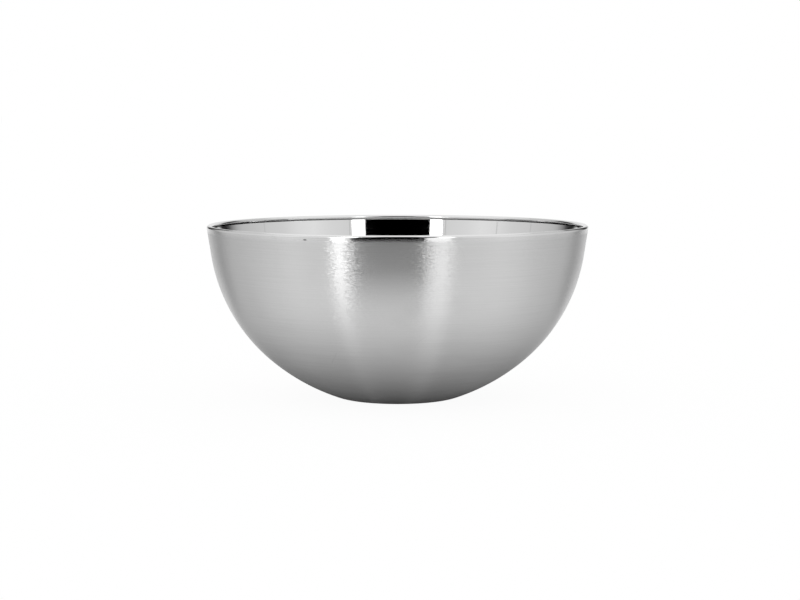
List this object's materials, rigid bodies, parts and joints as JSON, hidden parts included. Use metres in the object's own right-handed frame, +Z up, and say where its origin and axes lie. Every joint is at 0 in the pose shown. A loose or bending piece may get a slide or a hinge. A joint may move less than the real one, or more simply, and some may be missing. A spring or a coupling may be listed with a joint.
{
  "type": "shaving bowl",
  "caption": "Round double-walled steel lather bowl with a satin outside, a mirror-polished inside, a rolled lip and a small flat base.",
  "frame": {"origin": "middle of the flat base, on the surface the bowl stands on", "axes": "+Z up along the bowl's axis of revolution; +X and +Y are any two level directions"},
  "size_m": [0.12, 0.12, 0.055],
  "materials": {
    "satin_steel": "satin, brushed round the bowl",
    "mirror_steel": "mirror polished"
  },
  "bodies": {
    "root": {"outer_shell": "satin_steel", "inner_shell": "mirror_steel"}
  },
  "joints": []
}
